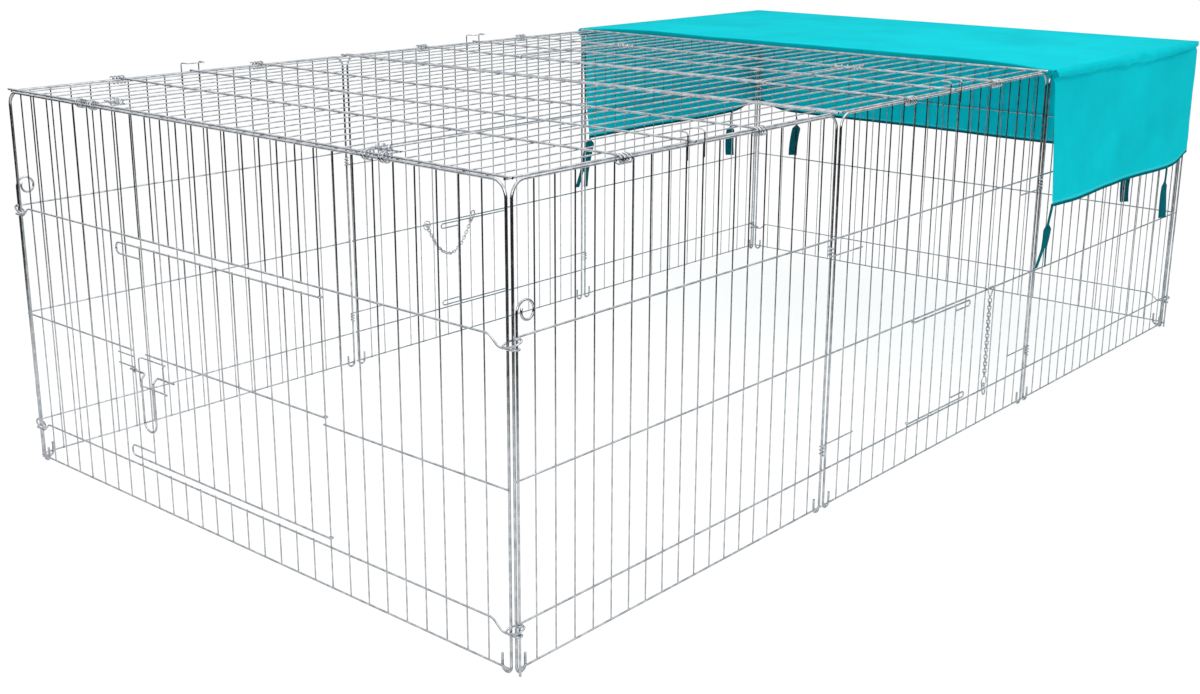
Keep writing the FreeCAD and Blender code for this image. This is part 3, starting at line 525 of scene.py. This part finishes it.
# How far down the seam's roll reaches. A fold parts it in two along each side.
def weltReach(along, total, sideLength):
    place = min(along, total - along)
    fold = skirt["weltFoldPlace"]
    if place < fold:
        reach = skirt["weltDrop"] * (1.0 + skirt["weltGrowth"] * place / fold)
    elif place < sideLength:
        reach = skirt["weltFoldDrop"] * (1.0 - skirt["weltFoldLoss"] * (place - fold) / (sideLength - fold))
    else:
        reach = skirt["weltDrop"] * skirt["weltEndShare"]
    return reach * (1.0 + skirt["weltWander"] * ripple(along, 0.0, scale=17.0, seed=11.0))


# The roll's section: a quick rise, a full middle and a lip that turns back under.
def weltSection(share):
    if share >= 1.0:
        return 0.0
    lip = min(1.0, (1.0 - share) / skirt["weltLip"])
    return min(1.0, share / skirt["weltSwell"]) ** skirt["weltSwellPower"] * math.sqrt(lip)


# How far a point of the skirt stands out from its line: slow waves, the seam's roll, creases and the hem.
def standOff(along, down, total, corners):
    hang = down / flapDrop
    swing = math.sin(2 * math.pi * along / skirt["waveLength"])
    wave = skirt["waveDepth"] * hang * (skirt["waveLift"] + swing)
    wave += skirt["waveDepth"] * hang * ripple(along, 0.0, scale=6.0, seed=2.0)
    plump = skirt["weltPlump"] + skirt["weltPlumpWander"] * ripple(along, 0.0, scale=14.0, seed=5.0)
    plump += skirt["weltPucker"] * ripple(along, down, scale=48.0, seed=7.0)
    reach = weltReach(along, total, corners[0])
    cornering = sum(bell(along, corner, skirt["weltCornerSpread"]) for corner in corners)
    slim = 1.0 - skirt["weltCornerLoss"] * cornering
    roll = skirt["weltBulge"] * slim * max(skirt["weltLeast"], plump) * weltSection(down / reach)
    crease = -skirt["weltCrease"] * bell(down, reach * skirt["weltCreasePlace"], skirt["weltCreaseSpread"])
    fold = skirt["broadFold"] * ripple(along, down, scale=20.0, seed=4.0)
    lowRipple = ripple(along * skirt["lowFoldCrowd"] + down, down, scale=12.0, seed=14.0)
    fold += skirt["lowFold"] * hang * lowRipple
    sewn = skirt["sewnLift"] if down > flapDrop - skirt["hem"] else 0.0
    return max(0.0, wave) + roll + crease + fold + sewn


# The skirt's rows are fine over the seam's roll and the hem, and coarser between them.
def skirtRows():
    fine = skirt["weltRowStep"]
    rows = [step * fine for step in range(round(skirt["weltRowReach"] * skirt["weltFoldDrop"] / fine))]
    rest = flapDrop - skirt["hem"] - rows[-1]
    count = round(rest / cover["gridStep"])
    rows += [rows[-1] + rest * (step + 1) / count for step in range(count)]
    hemRows = skirt["hemRows"]
    return rows + [flapDrop - skirt["hem"] * (1 - (step + 1) / hemRows) for step in range(hemRows)]


def makeSkirt():
    line = skirtLine()
    lengths = [0.0]
    for before, after in zip(line, line[1:]):
        lengths.append(lengths[-1] + (after[0] - before[0]).length)
    total = lengths[-1]
    corners = (coverEnd - coverLow.x, total - (coverEnd - coverLow.x))
    rows = skirtRows()
    stitchRow = len(rows) - skirt["hemRows"] + skirt["stitchRow"]
    spread = skirt["slantSpread"]
    verts = []
    uvs = []
    hem = []
    stitch = []
    for number, down in enumerate(rows):
        hang = down / flapDrop
        for (point, out), along in zip(line, lengths):
            place = point + out * standOff(along, down, total, corners)
            inward = skirt["nearSlant"] * hang * max(bell(along, 0.0, spread), bell(along, total, spread))
            rise = sum(skirt["cornerRise"] * bell(along, corner, skirt["cornerSpread"]) for corner in corners)
            sway = skirt["hemSway"] * hang * ripple(along, 0, scale=4, seed=9)
            verts.append((place.x + inward, place.y, coverLevel - down + rise * hang ** 2 + sway))
            uvs.append((along, down))
            hem.append(1.0 if down > flapDrop - skirt["hemLine"] else 0.0)
            stitch.append(skirt["stitchShade"] if number == stitchRow else 0.0)
    piece = clothSheet("cover_skirt", verts, gridFaces(len(line), len(rows)), coverCloth, uvs,
                       cover["thickness"], hem=hem, stitch=stitch)
    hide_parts("cover_flap_front", "cover_flap_back", "cover_flap_end")


makeTopSheet()
makeSkirt()
print("cover done")

# Ties: tapes sewn to the hem, gathered like strings near it and flat at their ends.
# A lay is the share of the length that is gathered, and the turn of the flat end in degrees.
ties = {
    "width": 0.022,
    "thickness": 0.0009,
    "sewn": 0.006,
    "steps": 40,
    "pleats": 7,
    "pleatAngle": 82.0,
    "opening": 0.12,
    "frontLay": (0.32, 9.0),
    "backNearLay": (0.06, -49.0),
    "backFarLay": (0.35, -49.0),
    "endFrontLay": (0.06, -41.0),
    "endBackLay": (0.30, -41.0),
    "pull": 0.030,
    "pullPower": 1.2,
    "slitFrom": 0.70,
    "slitSpread": 0.0045,
    "twist": (14.0, 2.6, 1.7),
    "drift": (0.004, 4.0, 1.0),
    "sway": (0.003, 7.0, 2.1),
    "swayPlace": 0.7,
    "swaySpread": 0.25,
    "curl": 0.0016,
    "brightHex": "#0B7480",
    "deepHex": "#065058",
    "yarn": 0.0024,
}
tieCloth = clothMaterial("woven_tape_dark_teal", ties["brightHex"], ties["deepHex"], ties["yarn"])


def solidBoxes(node):
    mesh = nodes[node].data
    merged, spots = weld(mesh)
    solidOf = grouped(len(spots), [[merged[v] for v in face.vertices] for face in mesh.polygons])
    solids = {}
    for spot, solid in zip(spots, solidOf):
        solids.setdefault(solid, []).append(spot)
    found = []
    for corners in solids.values():
        low = Vector([min(corner[axis] for corner in corners) for axis in range(3)])
        high = Vector([max(corner[axis] for corner in corners) for axis in range(3)])
        found.append((low, high))
    return found


def tieLay(onSide, isNear, middle):
    if not onSide:
        return ties["endBackLay"] if middle.y > 0 else ties["endFrontLay"]
    if middle.y < 0:
        return ties["frontLay"]
    return ties["backNearLay"] if isNear else ties["backFarLay"]


# A wave along a tie: its size, its radians over the length, and its shift from tie to tie.
def tieWave(kind, share, number):
    size, radians, shift = ties[kind]
    return size * math.sin(radians * share + shift * number)


# The near ties of both sides are pulled towards the middle of the run, and slit at their ends.
def tie(number, low, high):
    middle = (low + high) / 2
    onSide = high.x - low.x > high.y - low.y
    isNear = onSide and middle.x < (coverLow.x + coverHigh.x) / 2
    flat = xAxis if onSide else yAxis
    out = yAxis * math.copysign(1, middle.y) if onSide else xAxis
    if onSide:
        middle.y = math.copysign(coverSide, middle.y)
    else:
        middle.x = coverEnd
    stringEnd, degrees = tieLay(onSide, isNear, middle)
    drop = high.z - low.z
    pleats = ties["pleats"]
    pleat = ties["width"] / pleats
    verts = []
    uvs = []
    for step in range(ties["steps"] + 1):
        share = step / ties["steps"]
        loose = min(1.0, max(0.0, (share - stringEnd) / ties["opening"]))
        eased = loose * loose * (3.0 - 2.0 * loose)  # starts and ends gently
        gather = math.radians(ties["pleatAngle"]) * (1.0 - eased)
        twist = math.radians(degrees + tieWave("twist", share, number))
        slant = tieWave("drift", share, number)
        parted = 0.0
        if isNear:
            slant = -ties["pull"] * share ** ties["pullPower"]
            parted = max(0.0, share - ties["slitFrom"]) / (1.0 - ties["slitFrom"])
        sway = tieWave("sway", share, number) * bell(share, stringEnd * ties["swayPlace"], ties["swaySpread"])
        centre = Vector((middle.x, middle.y, high.z + ties["sewn"] - share * drop)) + flat * (slant + sway)
        across = flat * math.cos(twist) + out * math.sin(twist)
        over = out * math.cos(twist) - flat * math.sin(twist)
        for column in range(pleats + 1):
            apart = math.copysign(1, column - pleats / 2) * ties["slitSpread"] * parted
            wide = pleat * math.cos(gather) * (column - pleats / 2) + apart
            deep = pleat * math.sin(gather) * (column % 2 - 0.5) + apart
            curl = ties["curl"] * loose * math.sin(math.pi * column / pleats)
            verts.append(centre + across * wide + over * (deep + curl))
            uvs.append((pleat * column, share * drop))
    slitRow = round(ties["slitFrom"] * ties["steps"])
    faces = []
    for place, face in enumerate(gridFaces(pleats + 1, ties["steps"] + 1)):
        inSlit = isNear and place // pleats >= slitRow and place % pleats == pleats // 2
        if not inSlit:
            faces.append(face)
    piece = clothSheet(f"cover_tie_{number + 1}", verts, faces, tieCloth, uvs, ties["thickness"])
    return piece


tiePieces = [tie(number, low, high) for number, (low, high) in enumerate(solidBoxes("cover_ties"))]
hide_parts("cover_ties")
print("ties done")

# Spirals of thin wire: rail spirals hold the top to the rails, clip and stub spirals hold the edge clips
# to the near end, and latch spirals hold the hatch shut.
spirals = {
    "wire": 0.0012,
    "turnSteps": 14,
    "railDepth": 0.002,
    "rail": {"radius": 0.0066, "pitch": 0.0070, "turns": 4, "start": 0.0},
    "clip": {"radius": 0.0066, "pitch": 0.0070, "turns": 2.3, "start": 0.6},
    "clipOffsets": (0.0031, 0.0371),
    "clipInward": 0.002,
    "clipRise": 0.0017,
    "stub": {"radius": 0.0046, "pitch": 0.012, "turns": 3, "start": 0.0},
    "stubOffset": (0.0, -0.0069, 0.00197),
    "latch": {"radius": 0.0038, "pitch": 0.013, "turns": 5, "start": 0.0},
    "latchOffset": (-0.0008, -0.01947, 0.00077),
}


def spiral(centre, along, radius, pitch, turns, start):
    side = along.orthogonal().normalized()
    over = along.cross(side)
    points = []
    for step in range(round(turns * spirals["turnSteps"]) + 1):
        turn = step / spirals["turnSteps"] - turns / 2
        angle = start + 2 * math.pi * turn
        around = side * math.cos(angle) + over * math.sin(angle)
        points.append(centre + along * (pitch * turn) + around * radius)
    return points, spirals["wire"]


# Both sides of the run have the same spirals, so a place is given for one.
def mirrored(place, sign):
    return Vector((place[0], sign * place[1], place[2]))


# Rail spirals stand at the bars that hook over the rails. The rest stand off a clip's or the hatch's bar.
def makeSpirals():
    sideLow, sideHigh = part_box("front_frame_1")
    endLow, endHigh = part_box("near_end_frame")
    railZ = sideHigh.z - spirals["railDepth"]
    railY = (sideLow.y + sideHigh.y) / 2
    clipX = (endLow.x + endHigh.x) / 2 + spirals["clipInward"]
    clipZ = railZ + spirals["clipRise"]
    loops = []
    for bar in crossBars("top_bars_1") + crossBars("top_bars_2"):
        if len(bar) > 2:
            for sign in (1, -1):
                centre = mirrored((bar[0].x, railY, railZ), sign)
                loops.append(spiral(centre, xAxis, **spirals["rail"]))
    clipBar = max(crossBars("edge_clips"), key=lambda bar: bar[0].y)
    clipMiddle = (clipBar[0] + clipBar[-1]) / 2
    for sign in (1, -1):
        for offset in spirals["clipOffsets"]:
            centre = mirrored((clipX, clipMiddle.y + offset, clipZ), sign)
            loops.append(spiral(centre, yAxis, **spirals["clip"]))
        centre = mirrored(clipMiddle + Vector(spirals["stubOffset"]), sign)
        loops.append(spiral(centre, yAxis, **spirals["stub"]))
    piece = tubes("top_spirals", loops, "run", wire["thinSides"])
    farBar = max(crossBars("top_hatch"), key=lambda bar: bar[0].x)
    barEnd = max(farBar, key=lambda point: point.y)
    latches = []
    for sign in (1, -1):
        centre = mirrored(barEnd + Vector(spirals["latchOffset"]), sign)
        latches.append(spiral(centre, yAxis, **spirals["latch"]))
    latch = tubes("hatch_spirals", latches, "top_hatch", wire["thinSides"])


clasp = {
    "wire": 0.0015,
    "steps": 28,
    "heights": (0.448, 0.065),
    "postRadius": 0.002,
    "spare": 0.0062,
    "half": 0.0066,
    "tilt": 0.0050,
    "tiltTurn": 0.9,
}


# Clasps: a slanted ring of wire round both corner posts and the pin that locks them.
def makeClasps():
    endLow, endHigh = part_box("near_end_frame")
    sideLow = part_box("front_frame_1")[0]
    radius = clasp["postRadius"]
    rings = []
    for signX, side in ((-1, "near"), (1, "far")):
        for signY, face in ((-1, "front"), (1, "back")):
            pinLow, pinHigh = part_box(f"pin_{side}_{face}")
            pinY = max(abs(pinLow.y), abs(pinHigh.y)) - radius
            post = Vector((signX * abs((endLow.x + endHigh.x) / 2), signY * (endHigh.y - radius), 0))
            shaft = Vector((signX * (abs(sideLow.x) - radius), signY * pinY, 0))
            reach = (shaft - post).length / 2 + clasp["spare"]
            along = (shaft - post).normalized()
            across = Vector((-along.y, along.x, 0))
            for height in clasp["heights"]:
                centre = (shaft + post) / 2 + zAxis * height
                points = []
                for step in range(clasp["steps"]):
                    angle = 2 * math.pi * step / clasp["steps"]
                    point = centre + along * (reach * math.cos(angle))
                    point += across * (clasp["half"] * math.sin(angle))
                    points.append(point + zAxis * (clasp["tilt"] * math.sin(angle + clasp["tiltTurn"])))
                rings.append((points, clasp["wire"]))
    piece = tubes("corner_clasps", rings, "run", wire["thinSides"], closed=True)


makeSpirals()
makeClasps()
print("spirals done")

chain = {
    "linkLength": 0.0092,
    "linkWidth": 0.0058,
    "linkWire": 0.0010,
    "linkOverlap": 0.0024,
    "loopSteps": 16,
    "ringRadius": 0.0095,
    "ringWire": 0.0011,
    "clipLength": 0.024,
    "clipWidth": 0.010,
    "clipWire": 0.00143,
    "frontClipLean": 0.35,
    "frontClipHang": 0.35,
    "backClipLean": 0.5,
    "triangleWide": 0.026,
    "triangleTall": 0.022,
    "triangleBend": 0.22,
    "triangleSteps": 4,
    "endGap": 0.002,
    "firstLink": 0.004,
    "lastLink": 0.003,
}


# Chains: links turned a quarter from each to the next, held by shaped rings and snap clips at their ends.
def linkLoop(centre, along, side, length, width):
    points = []
    half = width / 2
    straight = length / 2 - half
    for step in range(chain["loopSteps"]):
        angle = 2 * math.pi * (step + 0.5) / chain["loopSteps"]
        shift = straight if math.cos(angle) > 0 else -straight
        points.append(centre + along * (half * math.cos(angle) + shift) + side * (half * math.sin(angle)))
    return points


def roundRing(centre):
    size = 2 * chain["ringRadius"]
    return linkLoop(centre, -zAxis, xAxis, size, size), chain["ringWire"]


def snapClip(centre, along, side):
    loop = linkLoop(centre, along.normalized(), side.normalized(), chain["clipLength"], chain["clipWidth"])
    return loop, chain["clipWire"]


def triangleRing(apex):
    top = apex + zAxis * chain["triangleTall"]
    across = xAxis * chain["triangleWide"] / 2
    corners = [apex, top + across, top - across]
    points = []
    for number, corner in enumerate(corners):
        start = corner.lerp(corners[number - 1], chain["triangleBend"])
        end = corner.lerp(corners[(number + 1) % 3], chain["triangleBend"])
        for step in range(chain["triangleSteps"] + 1):
            points.append(bend(start, corner, end, step / chain["triangleSteps"]))
    return points, chain["ringWire"]


def linkCentres(line, pitch):
    position = line[0]
    centres = [position]
    target = 1
    while target < len(line):
        if (line[target] - position).length < pitch:
            target += 1
        else:
            position = position + (line[target] - position).normalized() * pitch
            centres.append(position)
    return centres


def chainLinks(node, line):
    centres = linkCentres(line, chain["linkLength"] - chain["linkOverlap"])
    loops = []
    for number, centre in enumerate(centres):
        before = centres[max(number - 1, 0)]
        after = centres[min(number + 1, len(centres) - 1)]
        along = (after - before).normalized()
        side = along.cross(yAxis).normalized()
        over = along.cross(side)
        angle = math.pi / 4 + math.pi / 2 * (number % 2)
        turned = side * math.cos(angle) + over * math.sin(angle)
        loop = linkLoop(centre, along, turned, chain["linkLength"], chain["linkWidth"])
        loops.append((loop, chain["linkWire"]))
    piece = tubes(f"{node}_links", loops, bodyOf[node], wire["thinSides"], closed=True)
    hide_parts(node)


def chainRings(node, rings):
    piece = tubes(f"{node}_rings", rings, "run", wire["thinSides"], closed=True)


# The front chain hangs straight from its triangle ring to a round ring with a snap clip.
def frontChain():
    line = wireLines("front_chain")[0][0]
    high = max(line, key=lambda point: point.z)
    low = min(line, key=lambda point: point.z)
    apex = high - zAxis * (chain["triangleTall"] + chain["endGap"])
    ring = low + zAxis * (chain["clipLength"] / 2 + chain["ringRadius"] + chain["endGap"])
    first = apex - zAxis * chain["firstLink"]
    last = ring + zAxis * (chain["ringRadius"] + chain["lastLink"])
    chainLinks("front_chain", [first, last])
    lean = chain["frontClipLean"]
    clip = low + zAxis * (chain["clipLength"] * chain["frontClipHang"])
    chainRings("front_chain", [triangleRing(apex), roundRing(ring),
                               snapClip(clip, xAxis * lean - zAxis, xAxis + zAxis * lean)])


# The back chain hangs in a swag from a round ring to a snap clip.
def backChain():
    line = wireLines("back_chain")[0][0]
    chainLinks("back_chain", rounded(line))
    left = min(line, key=lambda point: point.x)
    right = max(line, key=lambda point: point.x)
    lean = chain["backClipLean"]
    chainRings("back_chain", [roundRing(left), snapClip(right, xAxis * lean + zAxis, xAxis - zAxis * lean)])


frontChain()
backChain()
print("chains done")

camera = {
    "place": (-2.3443, -1.8156, 0.9906),
    "facing": (0.7282, 0.6298, -0.2702),
    "right": (0.6552, -0.7554, 0.0051),
    "lens": 45.78,
    "sensor": 36.0,
    "shiftUp": -0.033,
    "farEnd": 50.0,
}


def placeCamera():
    data = bpy.data.cameras.new("camera")
    data.lens = camera["lens"]
    data.sensor_width = camera["sensor"]
    data.shift_y = camera["shiftUp"]
    data.clip_end = camera["farEnd"]
    viewer = bpy.data.objects.new("camera", data)
    bpy.context.scene.collection.objects.link(viewer)
    back = -Vector(camera["facing"]).normalized()
    right = Vector(camera["right"])
    right = (right - back * right.dot(back)).normalized()
    above = back.cross(right)
    turned = Matrix((right, above, back)).transposed().to_4x4()
    viewer.matrix_world = Matrix.Translation(camera["place"]) @ turned
    bpy.context.scene.camera = viewer


# The camera and the wires see a white world. The floor is pale, glows to the camera so that it meets the
# white, and keeps a part of the shadow. The wires mirror only a share of that glow. A dim room stands round
# the floor, out of the camera's sight, so that the wires have dark sides as in a real room.
studio = {
    "matte": 0.9,
    "floorSize": (4.1, 3.0),
    "floorHex": "#F4F4F2",
    "floorShare": 0.75,
    "floorGlow": 1.15,
    "floorMirror": 0.2,
    "roomSides": 32,
    "roomRadius": 5.0,
    "roomFoot": -0.01,
    "roomHeight": 1.3,
    "roomHex": "#0C0D0E",
    "skyHex": "#FFFFFF",
    "skyLevel": 0.69,
    "lamps": {
        "overhead": {"place": (-0.3, -0.6, 2.6), "target": (0, 0, 0.3), "extents": (3.6, 2.6), "power": 25.0},
        "side": {"place": (-3.0, -2.4, 1.6), "target": (0, 0, 0.4), "extents": (1.4, 1.4), "power": 16.0},
    },
}


# One for rays from the camera, and a given share for rays that a surface mirrors or lets through.
def whiteRays(tree, mirrorShare):
    path = addNode(tree, "ShaderNodeLightPath")
    seen = path.outputs["Is Camera Ray"]
    for kind in ("Is Glossy Ray", "Is Transmission Ray"):
        part = addNode(tree, "ShaderNodeMath", {0: path.outputs[kind], 1: mirrorShare}, operation="MULTIPLY")
        seen = addNode(tree, "ShaderNodeMath", {0: seen, 1: part.outputs[0]}, operation="MAXIMUM").outputs[0]
    return seen


# Matte paint: an even tone with no shine.
def paintMaterial(name, hexText):
    material, tree, shader = newMaterial(name)
    setInputs(tree, shader, {"Base Color": linear(hexText), "Roughness": studio["matte"]})
    return material


def floorMaterial():
    material = paintMaterial("pale_matte_paint", studio["floorHex"])
    tree = material.node_tree
    share = addNode(tree, "ShaderNodeMath", {
        0: whiteRays(tree, studio["floorMirror"]), 1: studio["floorShare"]}, operation="MULTIPLY")
    glow = addNode(tree, "ShaderNodeEmission", {
        "Color": linear(studio["skyHex"]), "Strength": studio["floorGlow"]})
    mix = addNode(tree, "ShaderNodeMixShader", {
        0: share.outputs[0], 1: tree.nodes["Principled BSDF"].outputs["BSDF"], 2: glow.outputs["Emission"]})
    setInputs(tree, tree.nodes["Material Output"], {"Surface": mix.outputs["Shader"]})
    return material


def placeFloor():
    x, y = (extent / 2 for extent in studio["floorSize"])
    corners = [(-x, -y, 0.0), (x, -y, 0.0), (x, y, 0.0), (-x, y, 0.0)]
    newMesh("floor", corners, [(0, 1, 2, 3)], floorMaterial())


def placeRoom():
    sides = studio["roomSides"]
    verts = []
    for z in (studio["roomFoot"], studio["roomHeight"]):
        for step in range(sides):
            angle = 2 * math.pi * step / sides
            verts.append((studio["roomRadius"] * math.cos(angle), studio["roomRadius"] * math.sin(angle), z))
    ground = tuple(range(sides))
    walls = [(step, (step + 1) % sides, sides + (step + 1) % sides, sides + step) for step in range(sides)]
    room = newMesh("dim_room", verts, [ground] + walls, paintMaterial("dim_matte_paint", studio["roomHex"]))
    room.visible_camera = False
    room.visible_diffuse = False
    room.visible_shadow = False


def placeWorld():
    world = bpy.data.worlds.new("studio")
    bpy.context.scene.world = world
    world.use_nodes = True
    tree = world.node_tree
    level = addNode(tree, "ShaderNodeMapRange", {
        "Value": whiteRays(tree, 1.0), "To Min": studio["skyLevel"], "To Max": 1.0})
    setInputs(tree, tree.nodes["Background"], {
        "Color": linear(studio["skyHex"]), "Strength": level.outputs["Result"]})


def areaLight(name, place, target, extents, power):
    data = bpy.data.lights.new(name, "AREA")
    data.shape = "RECTANGLE"
    data.size = extents[0]
    data.size_y = extents[1]
    data.energy = power
    light = bpy.data.objects.new(name, data)
    light.location = place
    light.rotation_euler = (Vector(target) - Vector(place)).to_track_quat("-Z", "Y").to_euler()
    bpy.context.scene.collection.objects.link(light)


placeCamera()
placeFloor()
placeRoom()
placeWorld()
for name, lamp in studio["lamps"].items():
    areaLight(name, **lamp)
bpy.context.scene.view_settings.view_transform = "Standard"
print("studio done")
